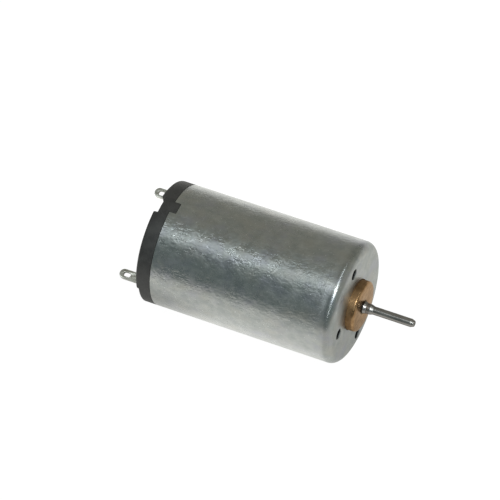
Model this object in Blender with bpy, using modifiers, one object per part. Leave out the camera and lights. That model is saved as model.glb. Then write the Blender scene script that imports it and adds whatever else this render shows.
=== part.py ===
"""Small round brushed direct-current motor with a 15.5 mm steel can and a 1 mm shaft.

Every piece is modelled in the motor's own frame. The shaft runs along Z, the outside of the can's front
wall is z = 0 and the tail is below it. Angles turn about the shaft from X towards Y, and the key slot in
the can's rim is at 90 degrees. Two empties on the shaft's axis lay the motor on its side: in the world
the shaft points along +X, the key slot is on top and the origin is the centre of the shaft's output end.

One empty carries the stator (can, magnets, bearings, end cap and brush gear). The other one carries
everything that turns with the shaft.
"""
from math import asin
from math import cos
from math import pi
from math import radians
from math import sin
from math import sqrt

import bmesh
import bpy

MM = 0.001

# Driving dimensions
CAN_RADIUS = 7.75 * MM
CAN_LENGTH = 24.0 * MM
CAN_WALL = 0.6 * MM
CAN_CORNER = 1.1 * MM
OUTPUT_RADIUS = 0.5 * MM
SHAFT_RADIUS = 0.65 * MM
SHAFT_REACH = 7.75 * MM
BOSS_RADIUS = 3.2 * MM
BOSS_HEIGHT = 1.05 * MM
CAP_HEIGHT = 1.94 * MM
TAB_REACH = 3.46 * MM

# Clearances: pressed or resting pieces, turning pieces, and the gap between rotor and magnets
SEAT_GAP = 0.03 * MM
RUNNING_GAP = 0.02 * MM
AIR_GAP = 0.3 * MM

# Can
CAN_INSIDE = CAN_RADIUS - CAN_WALL
RIM_CHAMFER = 0.1 * MM
FACE_HOLE_RADIUS = 0.69 * MM
SCREW_HOLES_AT = 5.75 * MM
SCREW_HOLE_ANGLES = (radians(88), radians(268))
LOCATING_HOLE_AT = 5.05 * MM
LOCATING_HOLE_ANGLE = radians(176)
KEY_ANGLE = radians(90)
KEY_WIDTH = 1.6 * MM
KEY_DEPTH = 0.9 * MM

# Front bearing
BUSH_BORE = SHAFT_RADIUS + RUNNING_GAP
BOSS_CHAMFER = 0.25 * MM
MOUTH_RADIUS = 0.95 * MM
MOUTH_DEPTH = 0.4 * MM
FRONT_FLANGE_RADIUS = 3.9 * MM
FRONT_FLANGE_BACK = -1.3 * MM
FRONT_BUSH_RADIUS = 1.6 * MM
FRONT_BUSH_BACK = -2.3 * MM

# Magnets and the spring clips between them
MAGNET_OUTSIDE = CAN_INSIDE - SEAT_GAP
MAGNET_INSIDE = 5.62 * MM
MAGNET_HALF_ARC = radians(67)
MAGNET_FRONT = -3.5 * MM
MAGNET_BACK = -17.5 * MM
MAGNET_BEVEL = 0.2 * MM
CLIP_THICKNESS = 0.3 * MM
CLIP_LEG = 1.2 * MM
CLIP_LENGTH = 10.0 * MM
CLIP_HALF_ARC = pi / 2 - MAGNET_HALF_ARC

# Rotor core
CORE_RADIUS = MAGNET_INSIDE - AIR_GAP
CORE_FRONT = -6.0 * MM
LAMINATION_COUNT = 20
LAMINATION_PITCH = 0.5 * MM
CORE_BACK = CORE_FRONT - LAMINATION_COUNT * LAMINATION_PITCH
CORE_BORE = SHAFT_RADIUS + 2 * SEAT_GAP
POLE_COUNT = 3
POLE_PITCH = 2 * pi / POLE_COUNT
POLE_HALF_ARC = radians(52)
POLE_SHOE = 0.82 * MM
LEG_HALF_WIDTH = 1.0 * MM
HUB_RADIUS = 1.75 * MM
FIRST_POLE = radians(90)
INSULATOR_THICKNESS = 0.5 * MM
INSULATOR_INSET = 0.2 * MM

# Coils round the three legs
COIL_INNER_FACE = 1.95 * MM
COIL_OUTER_FACE = 3.6 * MM
COIL_WIDTH = 1.65 * MM
COIL_OVERHANG = 1.6 * MM
COIL_BEVEL = 0.3 * MM
COIL_WINDOW_CORNER = 0.2 * MM
WIRE_RADIUS = 0.09 * MM
LEAD_TURNS = (radians(-18), radians(-10), radians(-2))

# Varistor ring and commutator behind the coils
VARISTOR_FRONT = -18.35 * MM
VARISTOR_BACK = -18.95 * MM
VARISTOR_INSIDE = 1.98 * MM
VARISTOR_OUTSIDE = 3.2 * MM
SLEEVE_FRONT = -18.2 * MM
SLEEVE_BACK = -22.7 * MM
SLEEVE_RADIUS = 1.15 * MM
SLEEVE_FLANGE_RADIUS = 1.9 * MM
SLEEVE_FLANGE_BACK = -19.0 * MM
SEGMENT_INSIDE = SLEEVE_RADIUS + SEAT_GAP
SEGMENT_OUTSIDE = 1.5 * MM
SEGMENT_FRONT = SLEEVE_FLANGE_BACK - SEAT_GAP
SEGMENT_BACK = -22.4 * MM
SEGMENT_HALF_ARC = radians(56)
TANG_REACH = 2.9 * MM
TANG_HALF_WIDTH = 0.4 * MM
TANG_THICKNESS = 0.25 * MM
TANG_SETBACK = 0.07 * MM
TANG_FRONT = SEGMENT_FRONT - TANG_SETBACK
RETAINER_RADIUS = 2.0 * MM
RETAINER_FRONT = -21.95 * MM
RETAINER_BACK = -22.3 * MM

# Spacer and washers on the shaft
WASHER_RADIUS = 1.2 * MM
END_PLAY = 0.05 * MM
FRONT_WASHER_BACK = -2.65 * MM

# End cap and rear bearing
CAP_BACK = -CAN_LENGTH - CAP_HEIGHT
CAP_PLUG_FRONT = MAGNET_BACK - 0.1 * MM
CAP_PLUG_INSIDE = 6.5 * MM
CAP_FLOOR = -23.4 * MM
CAP_CHAMFER = 0.12 * MM
CAP_RIM_CHAMFER = 0.25 * MM
CAP_NOTCH_WIDTH = 2.6 * MM
CAP_NOTCH_LENGTH = 2.4 * MM
CAP_NOTCH_DEPTH = 0.62 * MM
TERMINAL_WELL_WIDTH = 4.8 * MM
TERMINAL_WELL_LENGTH = 3.6 * MM
TERMINAL_WELL_DEPTH = 0.42 * MM
REAR_HUB_RADIUS = 2.5 * MM
REAR_HUB_BACK = CAP_BACK - 0.95 * MM
REAR_HUB_FRONT = -23.05 * MM
REAR_HUB_MOUTH = 0.95 * MM
REAR_HUB_LIP = 0.35 * MM
REAR_BUSH_RADIUS = 1.6 * MM
REAR_BUSH_FRONT = -23.05 * MM
REAR_BUSH_BACK = REAR_HUB_BACK + REAR_HUB_LIP + SEAT_GAP
SHAFT_BACK = REAR_HUB_BACK + 0.3 * MM
SHAFT_CHAMFER = 0.12 * MM
SHOULDER_BACK = 1.95 * MM
SHOULDER_FRONT = 2.6 * MM
SHAFT_TIP_ROUND = 0.35 * MM

# Terminals, brush arms and brushes
TERMINAL_ANGLE = radians(18)
TERMINAL_AT = 5.6 * MM
TERMINAL_WIDTH = 1.4 * MM
TERMINAL_THICKNESS = 0.4 * MM
TERMINAL_FRONT = -20.1 * MM
TERMINAL_SHOULDER = CAP_BACK - 0.12 * MM
TAB_WIDTH = 1.25 * MM
TAB_THICKNESS = 0.34 * MM
TAB_BACK = CAP_BACK - TAB_REACH
EYE_HALF_WIDTH = 0.28 * MM
EYE_LENGTH = 1.25 * MM
EYE_FROM_TIP = 1.0 * MM
ARM_THICKNESS = 0.15 * MM
ARM_HEIGHT = 1.8 * MM
ARM_MIDDLE = -21.0 * MM
ARM_OFFSET = 2.32 * MM
ARM_BEND_AT = 1.2 * MM
ARM_END_AT = -1.05 * MM
BRUSH_WIDTH = 1.5 * MM
BRUSH_HEIGHT = 1.2 * MM

# Facets round a full turn
WIDE_TURN = 72
SMALL_TURN = 36
HOLE_TURN = 24
BORE_TURN = 10
CORNER_STEPS = 6
SMALL_CORNER_STEPS = 3
TIP_STEPS = 5
MAGNET_STEPS = 18
CLIP_STEPS = 8
TAB_STEPS = 10
EYE_STEPS = 6
SHOE_STEPS = 7
COIL_CORNER_STEPS = 4
SEGMENT_STEPS = 10
SHARP_ANGLE = radians(35)
MERGE = 0.001 * MM


def clear_scene():
    """Remove whatever the file opened with."""
    for item in list(bpy.data.objects):
        bpy.data.objects.remove(item, do_unlink=True)


def new_collection(name):
    """Add a collection to the scene."""
    collection = bpy.data.collections.new(name)
    bpy.context.scene.collection.children.link(collection)
    return collection


def new_frame(name):
    """Add an empty on the shaft's axis, at the mounting face, that lays the motor's Z along the world's X."""
    frame = bpy.data.objects.new(name, None)
    frame.location = (-SHAFT_REACH, 0, 0)
    frame.rotation_euler = (pi / 2, 0, pi / 2)
    parts.objects.link(frame)
    return frame


def new_material(name, colour, roughness, metallic):
    """Make a plain Principled material."""
    material = bpy.data.materials.new(name)
    material.use_nodes = True
    shader = material.node_tree.nodes["Principled BSDF"]
    shader.inputs["Base Color"].default_value = (*colour, 1)
    shader.inputs["Roughness"].default_value = roughness
    shader.inputs["Metallic"].default_value = metallic
    material.diffuse_color = (*colour, 1)
    return material


def smooth(mesh):
    """Shade a mesh smooth, with its real corners kept sharp."""
    mesh.shade_smooth()
    mesh.set_sharp_from_angle(angle=SHARP_ANGLE)


def baked(name, source):
    """Turn a source object with its modifiers into a plain welded mesh, and drop the source."""
    graph = bpy.context.evaluated_depsgraph_get()
    mesh = bpy.data.meshes.new_from_object(source.evaluated_get(graph))
    mesh.name = name
    bpy.data.objects.remove(source, do_unlink=True)
    shape = bmesh.new()
    shape.from_mesh(mesh)
    bmesh.ops.remove_doubles(shape, verts=shape.verts, dist=MERGE)
    shape.to_mesh(mesh)
    shape.free()
    smooth(mesh)
    return mesh


def add_piece(name, mesh, material, frame):
    """Place a mesh in the motor as one named piece."""
    mesh.materials.clear()
    mesh.materials.append(material)
    piece = bpy.data.objects.new(name, mesh)
    piece.parent = frame
    parts.objects.link(piece)
    return piece


def add_tool(name, mesh, frame):
    """Place a mesh as a hidden shape that cuts a piece or is joined to one."""
    tool = bpy.data.objects.new(name, mesh)
    tool.parent = frame
    tool.display_type = "WIRE"
    tool.hide_render = True
    tools.objects.link(tool)
    return tool


def combine(piece, tool, operation):
    """Cut a piece with a tool, join the tool to it, or keep what they share."""
    boolean = piece.modifiers.new(tool.name, "BOOLEAN")
    boolean.operation = operation
    boolean.solver = "EXACT"
    boolean.object = tool


def arc(radius, start, end, steps, centre=(0, 0)):
    """Points along a circular arc, both ends included."""
    angles = [start + (end - start) * step / steps for step in range(steps + 1)]
    return [(centre[0] + radius * cos(angle), centre[1] + radius * sin(angle)) for angle in angles]


def circle(radius, steps, centre=(0, 0)):
    """Points round a full circle, without the repeated last one."""
    return arc(radius, 0, 2 * pi, steps, centre)[:-1]


def rounded_rectangle(half_width, half_height, corner, steps):
    """Outline of a rectangle about the origin with round corners."""
    points = []
    for quarter, (side, up) in enumerate(((1, 1), (-1, 1), (-1, -1), (1, -1))):
        centre = (side * (half_width - corner), up * (half_height - corner))
        points += arc(corner, quarter * pi / 2, (quarter + 1) * pi / 2, steps, centre)
    return points


def turned_mesh(name, profile, steps, closed=True):
    """Spin a profile of (radius, height) points, outer side listed downwards, about Z."""
    count = len(profile)
    last = count if closed else count - 1
    wire = bpy.data.meshes.new(name)
    points = [(radius, 0, height) for radius, height in profile]
    edges = [(index, (index + 1) % count) for index in range(last)]
    wire.from_pydata(points, edges, [])
    source = bpy.data.objects.new(name, wire)
    parts.objects.link(source)
    screw = source.modifiers.new("turn", "SCREW")
    screw.steps = steps
    screw.render_steps = steps
    screw.use_merge_vertices = True
    screw.merge_threshold = MERGE
    return baked(name, source)


def plate_mesh(name, outline, thickness, holes=()):
    """Fill an outline of (x, y) points, less its holes, and thicken it evenly about z = 0."""
    curve = bpy.data.curves.new(name, "CURVE")
    curve.dimensions = "2D"
    curve.fill_mode = "BOTH"
    curve.extrude = thickness / 2
    for ring in (outline, *holes):
        spline = curve.splines.new("POLY")
        spline.points.add(len(ring) - 1)
        spline.use_cyclic_u = True
        for point, (x, y) in zip(spline.points, ring):
            point.co = (x, y, 0, 1)
    source = bpy.data.objects.new(name, curve)
    parts.objects.link(source)
    return baked(name, source)


def wire_mesh(name, path, radius):
    """Run a round wire along a path of points."""
    curve = bpy.data.curves.new(name, "CURVE")
    curve.dimensions = "3D"
    curve.bevel_depth = radius
    curve.bevel_resolution = 2
    curve.use_fill_caps = True
    spline = curve.splines.new("POLY")
    spline.points.add(len(path) - 1)
    for point, place in zip(spline.points, path):
        point.co = (*place, 1)
    source = bpy.data.objects.new(name, curve)
    parts.objects.link(source)
    return baked(name, source)


def box_mesh(name, size):
    """A box about the origin."""
    shape = bmesh.new()
    bmesh.ops.create_cube(shape, size=1)
    bmesh.ops.scale(shape, vec=size, verts=shape.verts)
    mesh = bpy.data.meshes.new(name)
    shape.to_mesh(mesh)
    shape.free()
    return mesh


def rod_mesh(name, radius, length, steps):
    """A closed cylinder about the origin, along Z."""
    shape = bmesh.new()
    bmesh.ops.create_cone(
        shape, cap_ends=True, segments=steps, radius1=radius, radius2=radius, depth=length
    )
    mesh = bpy.data.meshes.new(name)
    shape.to_mesh(mesh)
    shape.free()
    return mesh


def bevel(piece, width, segments):
    """Round the sharp edges of a piece."""
    rounding = piece.modifiers.new("rounded edges", "BEVEL")
    rounding.width = width
    rounding.segments = segments
    rounding.limit_method = "ANGLE"
    rounding.angle_limit = SHARP_ANGLE


def around(radius, angle, height=0):
    """The point at a radius and angle about the shaft."""
    return (radius * cos(angle), radius * sin(angle), height)


def add_ring(name, inside, outside, front, back, material, frame, steps=SMALL_TURN):
    """A plain turned ring between two heights."""
    profile = [(inside, front), (outside, front), (outside, back), (inside, back)]
    return add_piece(name, turned_mesh(name, profile, steps), material, frame)


def add_can():
    """Drawn steel cup: rounded front corner, bearing hole, three small face holes and the key slot."""
    inner_corner = CAN_CORNER - CAN_WALL
    centre_hole = BOSS_RADIUS + SEAT_GAP
    profile = [(centre_hole, 0)]
    profile += arc(CAN_CORNER, pi / 2, 0, CORNER_STEPS, (CAN_RADIUS - CAN_CORNER, -CAN_CORNER))
    profile += [(CAN_RADIUS, RIM_CHAMFER - CAN_LENGTH)]
    profile += [(CAN_RADIUS - RIM_CHAMFER, -CAN_LENGTH)]
    profile += [(CAN_INSIDE, -CAN_LENGTH)]
    inner_centre = (CAN_INSIDE - inner_corner, -CAN_CORNER)
    profile += arc(inner_corner, 0, pi / 2, SMALL_CORNER_STEPS, inner_centre)
    profile += [(centre_hole, -CAN_WALL)]
    can = add_piece("can", turned_mesh("can", profile, WIDE_TURN), plated_steel, stator)
    holes = [(SCREW_HOLES_AT, angle) for angle in SCREW_HOLE_ANGLES]
    holes.append((LOCATING_HOLE_AT, LOCATING_HOLE_ANGLE))
    for distance, angle in holes:
        drill = rod_mesh("face_hole", FACE_HOLE_RADIUS, 4 * CAN_WALL, HOLE_TURN)
        tool = add_tool("face_hole", drill, stator)
        tool.location = around(distance, angle, -CAN_WALL / 2)
        combine(can, tool, "DIFFERENCE")
    slot = add_tool("key_slot", box_mesh("key_slot", (3 * CAN_WALL, KEY_WIDTH, 2 * KEY_DEPTH)), stator)
    slot.location = around(CAN_RADIUS - CAN_WALL / 2, KEY_ANGLE, -CAN_LENGTH)
    slot.rotation_euler = (0, 0, KEY_ANGLE)
    combine(can, slot, "DIFFERENCE")


def add_front_bearing():
    """Sintered bronze bush: the round boss outside, a flange behind the can's wall and a short inner neck."""
    profile = [
        (BUSH_BORE, BOSS_HEIGHT - MOUTH_DEPTH),
        (MOUTH_RADIUS, BOSS_HEIGHT),
        (BOSS_RADIUS - BOSS_CHAMFER, BOSS_HEIGHT),
        (BOSS_RADIUS, BOSS_HEIGHT - BOSS_CHAMFER),
        (BOSS_RADIUS, -CAN_WALL - SEAT_GAP),
        (FRONT_FLANGE_RADIUS, -CAN_WALL - SEAT_GAP),
        (FRONT_FLANGE_RADIUS, FRONT_FLANGE_BACK),
        (FRONT_BUSH_RADIUS, FRONT_FLANGE_BACK),
        (FRONT_BUSH_RADIUS, FRONT_BUSH_BACK),
        (BUSH_BORE, FRONT_BUSH_BACK),
    ]
    add_piece("front_bearing", turned_mesh("front_bearing", profile, SMALL_TURN), bronze, stator)


def add_magnets():
    """Two ferrite arcs against the can, centred above and below the shaft."""
    outline = arc(MAGNET_OUTSIDE, -MAGNET_HALF_ARC, MAGNET_HALF_ARC, MAGNET_STEPS)
    outline += arc(MAGNET_INSIDE, MAGNET_HALF_ARC, -MAGNET_HALF_ARC, MAGNET_STEPS)
    for name, angle in (("magnet_upper", pi / 2), ("magnet_lower", -pi / 2)):
        mesh = plate_mesh(name, outline, MAGNET_FRONT - MAGNET_BACK)
        magnet = add_piece(name, mesh, ferrite, stator)
        magnet.location = (0, 0, (MAGNET_FRONT + MAGNET_BACK) / 2)
        magnet.rotation_euler = (0, 0, angle)
        bevel(magnet, MAGNET_BEVEL, 1)


def add_magnet_clips():
    """Two spring clips, each a channel of strip steel that pushes the magnets' edges apart."""
    half = CLIP_HALF_ARC - asin(SEAT_GAP / MAGNET_INSIDE)
    inner_half = half - CLIP_THICKNESS / MAGNET_INSIDE
    leg_end = MAGNET_OUTSIDE - CLIP_LEG
    outline = arc(MAGNET_OUTSIDE, -half, half, CLIP_STEPS)
    outline += arc(leg_end, half, inner_half, 1)
    outline += arc(MAGNET_OUTSIDE - CLIP_THICKNESS, inner_half, -inner_half, CLIP_STEPS)
    outline += arc(leg_end, -inner_half, -half, 1)
    for name, angle in (("magnet_clip_left", 0), ("magnet_clip_right", pi)):
        clip = add_piece(name, plate_mesh(name, outline, CLIP_LENGTH), spring_steel, stator)
        clip.location = (0, 0, (MAGNET_FRONT + MAGNET_BACK) / 2)
        clip.rotation_euler = (0, 0, angle)


def add_end_cap():
    """Moulded cap: a plug in the can, a full-width flange behind the rim, a key and a rear bearing hub."""
    pocket = REAR_BUSH_RADIUS + SEAT_GAP
    flange_front = -CAN_LENGTH - SEAT_GAP
    profile = [
        (CAP_PLUG_INSIDE, CAP_PLUG_FRONT),
        (MAGNET_OUTSIDE - CAP_CHAMFER, CAP_PLUG_FRONT),
        (MAGNET_OUTSIDE, CAP_PLUG_FRONT - CAP_CHAMFER),
        (MAGNET_OUTSIDE, flange_front),
        (CAN_RADIUS, flange_front),
        (CAN_RADIUS, CAP_BACK + CAP_RIM_CHAMFER),
        (CAN_RADIUS - CAP_RIM_CHAMFER, CAP_BACK),
        (REAR_HUB_RADIUS, CAP_BACK),
        (REAR_HUB_RADIUS, REAR_HUB_BACK + CAP_CHAMFER),
        (REAR_HUB_RADIUS - CAP_CHAMFER, REAR_HUB_BACK),
        (REAR_HUB_MOUTH, REAR_HUB_BACK),
        (REAR_HUB_MOUTH, REAR_HUB_BACK + REAR_HUB_LIP),
        (pocket, REAR_HUB_BACK + REAR_HUB_LIP),
        (pocket, REAR_HUB_FRONT),
        (REAR_HUB_RADIUS, REAR_HUB_FRONT),
        (REAR_HUB_RADIUS, CAP_FLOOR),
        (CAP_PLUG_INSIDE, CAP_FLOOR),
    ]
    cap = add_piece("end_cap", turned_mesh("end_cap", profile, WIDE_TURN), black_plastic, stator)
    combine(cap, new_key(), "UNION")
    notch_size = (2 * CAP_NOTCH_LENGTH, CAP_NOTCH_WIDTH, 2 * CAP_NOTCH_DEPTH)
    notch = add_tool("cap_notch", box_mesh("cap_notch", notch_size), stator)
    notch.location = around(CAN_RADIUS, KEY_ANGLE, CAP_BACK)
    notch.rotation_euler = (0, 0, KEY_ANGLE)
    combine(cap, notch, "DIFFERENCE")
    slot_length = TERMINAL_WIDTH + 2 * SEAT_GAP
    slot_width = TERMINAL_THICKNESS + 2 * SEAT_GAP
    for angle in (TERMINAL_ANGLE, TERMINAL_ANGLE + pi):
        well_size = (2 * TERMINAL_WELL_LENGTH, TERMINAL_WELL_WIDTH, 2 * TERMINAL_WELL_DEPTH)
        well = add_tool("terminal_well", box_mesh("terminal_well", well_size), stator)
        well.location = around(CAN_RADIUS, angle, CAP_BACK)
        well.rotation_euler = (0, 0, angle)
        combine(cap, well, "DIFFERENCE")
        slot_size = (slot_length, slot_width, 4 * (CAP_FLOOR - CAP_BACK))
        slot = add_tool("terminal_slot", box_mesh("terminal_slot", slot_size), stator)
        slot.location = around(TERMINAL_AT, angle, CAP_FLOOR)
        slot.rotation_euler = (0, 0, angle)
        combine(cap, slot, "DIFFERENCE")


def new_key():
    """The cap's key: the block of a nearly can-sized disc that fills the rim slot, less the seat gap."""
    height = KEY_DEPTH
    disc = rod_mesh("cap_key", CAN_RADIUS - SEAT_GAP, height, WIDE_TURN)
    key = add_tool("cap_key", disc, stator)
    key.location = (0, 0, -CAN_LENGTH - 2 * SEAT_GAP + height / 2)
    length = 2 * (CAN_RADIUS - CAP_PLUG_INSIDE)
    limit_size = (length, KEY_WIDTH - 2 * SEAT_GAP, 3 * height)
    limit = add_tool("cap_key_sides", box_mesh("cap_key_sides", limit_size), stator)
    limit.location = around(CAP_PLUG_INSIDE + SEAT_GAP + length / 2, KEY_ANGLE, -CAN_LENGTH)
    limit.rotation_euler = (0, 0, KEY_ANGLE)
    combine(key, limit, "INTERSECT")
    return key


def add_rear_bearing():
    """Plain bronze bush in the cap's hub."""
    add_ring("rear_bearing", BUSH_BORE, REAR_BUSH_RADIUS, REAR_BUSH_FRONT, REAR_BUSH_BACK, bronze, stator)


def add_terminal(name, angle):
    """Strip along the shaft, locked in the cap, with a narrower and thinner coined tab with a slot eye."""
    half = TAB_WIDTH / 2
    overlap = TERMINAL_SHOULDER + TAB_WIDTH / 4
    outline = [(TERMINAL_AT + half, overlap), (TERMINAL_AT - half, overlap)]
    outline += arc(half, pi, 2 * pi, TAB_STEPS, (TERMINAL_AT, TAB_BACK + half))
    eye_middle = TAB_BACK + EYE_FROM_TIP
    end_shift = EYE_LENGTH / 2 - EYE_HALF_WIDTH
    eye = arc(EYE_HALF_WIDTH, 0, pi, EYE_STEPS, (TERMINAL_AT, eye_middle + end_shift))
    eye += arc(EYE_HALF_WIDTH, pi, 2 * pi, EYE_STEPS, (TERMINAL_AT, eye_middle - end_shift))
    strip_size = (TERMINAL_WIDTH, TERMINAL_FRONT - TERMINAL_SHOULDER, TERMINAL_THICKNESS)
    strip = add_tool("terminal_strip", box_mesh("terminal_strip", strip_size), stator)
    strip.location = around(TERMINAL_AT, angle, (TERMINAL_FRONT + TERMINAL_SHOULDER) / 2)
    strip.rotation_euler = (pi / 2, 0, angle)
    mesh = plate_mesh(name, outline, TAB_THICKNESS, [eye])
    terminal = add_piece(name, mesh, tinned_brass, stator)
    terminal.rotation_euler = (pi / 2, 0, angle)
    combine(terminal, strip, "UNION")


def add_brush_arm(name, turn):
    """Leaf spring from the flat of a terminal to the back of its brush, beside the commutator."""
    side = TERMINAL_THICKNESS / 2 + SEAT_GAP + ARM_THICKNESS / 2
    along = (cos(TERMINAL_ANGLE), sin(TERMINAL_ANGLE))
    path = []
    for distance in (TERMINAL_AT + TERMINAL_WIDTH / 2, TERMINAL_AT - TERMINAL_WIDTH / 2):
        path.append((distance * along[0] - side * along[1], distance * along[1] + side * along[0]))
    path += [(ARM_BEND_AT, ARM_OFFSET), (ARM_END_AT, ARM_OFFSET)]
    shape = bmesh.new()
    rows = []
    for height in (ARM_MIDDLE - ARM_HEIGHT / 2, ARM_MIDDLE + ARM_HEIGHT / 2):
        rows.append([shape.verts.new((x, y, height)) for x, y in path])
    for index in range(len(path) - 1):
        shape.faces.new((rows[0][index], rows[0][index + 1], rows[1][index + 1], rows[1][index]))
    mesh = bpy.data.meshes.new(name)
    shape.to_mesh(mesh)
    shape.free()
    arm = add_piece(name, mesh, spring_bronze, stator)
    arm.rotation_euler = (0, 0, turn)
    leaf = arm.modifiers.new("leaf thickness", "SOLIDIFY")
    leaf.thickness = ARM_THICKNESS
    leaf.offset = 0
    leaf.use_even_offset = True


def add_brush(name, turn):
    """Carbon block on the arm, hollowed to the commutator's curve."""
    back = ARM_OFFSET - ARM_THICKNESS / 2 - SEAT_GAP
    contact = SEGMENT_OUTSIDE + SEAT_GAP
    front = sqrt(contact ** 2 - (BRUSH_WIDTH / 2) ** 2) + SEAT_GAP
    mesh = box_mesh(name, (BRUSH_WIDTH, back - front, BRUSH_HEIGHT))
    brush = add_piece(name, mesh, carbon, stator)
    brush.location = around((back + front) / 2, turn + pi / 2, ARM_MIDDLE)
    brush.rotation_euler = (0, 0, turn)
    hollow = add_tool("brush_hollow", rod_mesh("brush_hollow", contact, 2 * BRUSH_HEIGHT, SMALL_TURN), stator)
    hollow.location = (0, 0, ARM_MIDDLE)
    combine(brush, hollow, "DIFFERENCE")


def add_shaft():
    """Ground steel shaft with a thinner output part, a round tip and a chamfered rear end."""
    tip_centre = (OUTPUT_RADIUS - SHAFT_TIP_ROUND, SHAFT_REACH - SHAFT_TIP_ROUND)
    profile = [(0, SHAFT_REACH)]
    profile += arc(SHAFT_TIP_ROUND, pi / 2, 0, TIP_STEPS, tip_centre)
    profile += [
        (OUTPUT_RADIUS, SHOULDER_FRONT),
        (SHAFT_RADIUS, SHOULDER_BACK),
        (SHAFT_RADIUS, SHAFT_BACK + SHAFT_CHAMFER),
        (SHAFT_RADIUS - SHAFT_CHAMFER, SHAFT_BACK),
        (0, SHAFT_BACK),
    ]
    add_piece("shaft", turned_mesh("shaft", profile, SMALL_TURN, closed=False), ground_steel, rotor)


def pole_star(outer, shoe):
    """Outline of the three-pole stamping: shoes on the outside, straight legs and a round hub."""
    shoe_inside = outer - shoe
    root = sqrt(HUB_RADIUS ** 2 - LEG_HALF_WIDTH ** 2)
    leg_turn = asin(LEG_HALF_WIDTH / HUB_RADIUS)
    neck_turn = asin(LEG_HALF_WIDTH / shoe_inside)
    neck = sqrt(shoe_inside ** 2 - LEG_HALF_WIDTH ** 2)
    outline = []
    for pole in range(POLE_COUNT):
        middle = FIRST_POLE + pole * POLE_PITCH
        pole_points = [(root, -LEG_HALF_WIDTH), (neck, -LEG_HALF_WIDTH)]
        pole_points += arc(shoe_inside, -neck_turn, -POLE_HALF_ARC, 2)[1:]
        pole_points += arc(outer, -POLE_HALF_ARC, POLE_HALF_ARC, SHOE_STEPS)
        pole_points += arc(shoe_inside, POLE_HALF_ARC, neck_turn, 2)
        pole_points += [(root, LEG_HALF_WIDTH)]
        pole_points += arc(HUB_RADIUS, leg_turn, POLE_PITCH - leg_turn, 2)[1:-1]
        for x, y in pole_points:
            turned_x = x * cos(middle) - y * sin(middle)
            turned_y = x * sin(middle) + y * cos(middle)
            outline.append((turned_x, turned_y))
    return outline


def add_laminations():
    """The core: identical stamped plates stacked along the shaft."""
    outline = pole_star(CORE_RADIUS, POLE_SHOE)
    bore = circle(CORE_BORE, BORE_TURN)
    mesh = plate_mesh("lamination", outline, LAMINATION_PITCH - SEAT_GAP, [bore])
    for index in range(LAMINATION_COUNT):
        plate = add_piece(f"lamination_{index + 1:02d}", mesh, electrical_steel, rotor)
        plate.location = (0, 0, CORE_FRONT - (index + 0.5) * LAMINATION_PITCH)


def add_insulators():
    """A moulded star at each end of the core keeps the wire off the steel."""
    outline = pole_star(CORE_RADIUS - INSULATOR_INSET, POLE_SHOE - INSULATOR_INSET)
    bore = circle(CORE_BORE, BORE_TURN)
    front_middle = CORE_FRONT + INSULATOR_THICKNESS / 2
    back_middle = CORE_BACK - INSULATOR_THICKNESS / 2
    for name, middle in (("insulator_front", front_middle), ("insulator_rear", back_middle)):
        mesh = plate_mesh(name, outline, INSULATOR_THICKNESS - SEAT_GAP, [bore])
        star = add_piece(name, mesh, green_plastic, rotor)
        star.location = (0, 0, middle)


def add_coils():
    """One winding round each leg: a rounded ring that stands up from the shaft like a frame."""
    inner_half_width = LEG_HALF_WIDTH + 2 * SEAT_GAP
    inner_half_height = (CORE_FRONT - CORE_BACK) / 2 + INSULATOR_THICKNESS + SEAT_GAP
    outer_half_width = inner_half_width + COIL_WIDTH
    outer_half_height = inner_half_height + COIL_OVERHANG
    window = rounded_rectangle(inner_half_width, inner_half_height, COIL_WINDOW_CORNER, 2)
    outline = rounded_rectangle(outer_half_width, outer_half_height, COIL_OVERHANG, COIL_CORNER_STEPS)
    for pole in range(POLE_COUNT):
        name = f"coil_{pole + 1}"
        angle = FIRST_POLE + pole * POLE_PITCH
        mesh = plate_mesh(name, outline, COIL_OUTER_FACE - COIL_INNER_FACE, [window])
        coil = add_piece(name, mesh, enamelled_copper, rotor)
        middle = (COIL_OUTER_FACE + COIL_INNER_FACE) / 2
        coil.location = around(middle, angle, (CORE_FRONT + CORE_BACK) / 2)
        coil.rotation_euler = (pi / 2, 0, angle + pi / 2)
        bevel(coil, COIL_BEVEL, 1)


def add_coil_leads():
    """The end of each coil's wire, led past the varistor to the tang of a commutator segment."""
    coil_end = CORE_BACK - INSULATOR_THICKNESS - COIL_OVERHANG - 2 * SEAT_GAP - WIRE_RADIUS
    outside = VARISTOR_OUTSIDE + 4 * WIRE_RADIUS
    tang_middle = TANG_FRONT - TANG_THICKNESS / 2
    tip = TANG_REACH + SEAT_GAP + WIRE_RADIUS
    for pole in range(POLE_COUNT):
        name = f"coil_lead_{pole + 1}"
        angle = FIRST_POLE + pole * POLE_PITCH
        slot = angle + POLE_PITCH / 2
        heights = (coil_end, (coil_end + VARISTOR_BACK) / 2, VARISTOR_BACK)
        path = [around(outside, slot + turn, height) for turn, height in zip(LEAD_TURNS, heights)]
        path.append(around(tip, slot, tang_middle))
        add_piece(name, wire_mesh(name, path, WIRE_RADIUS), enamelled_copper, rotor)


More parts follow.
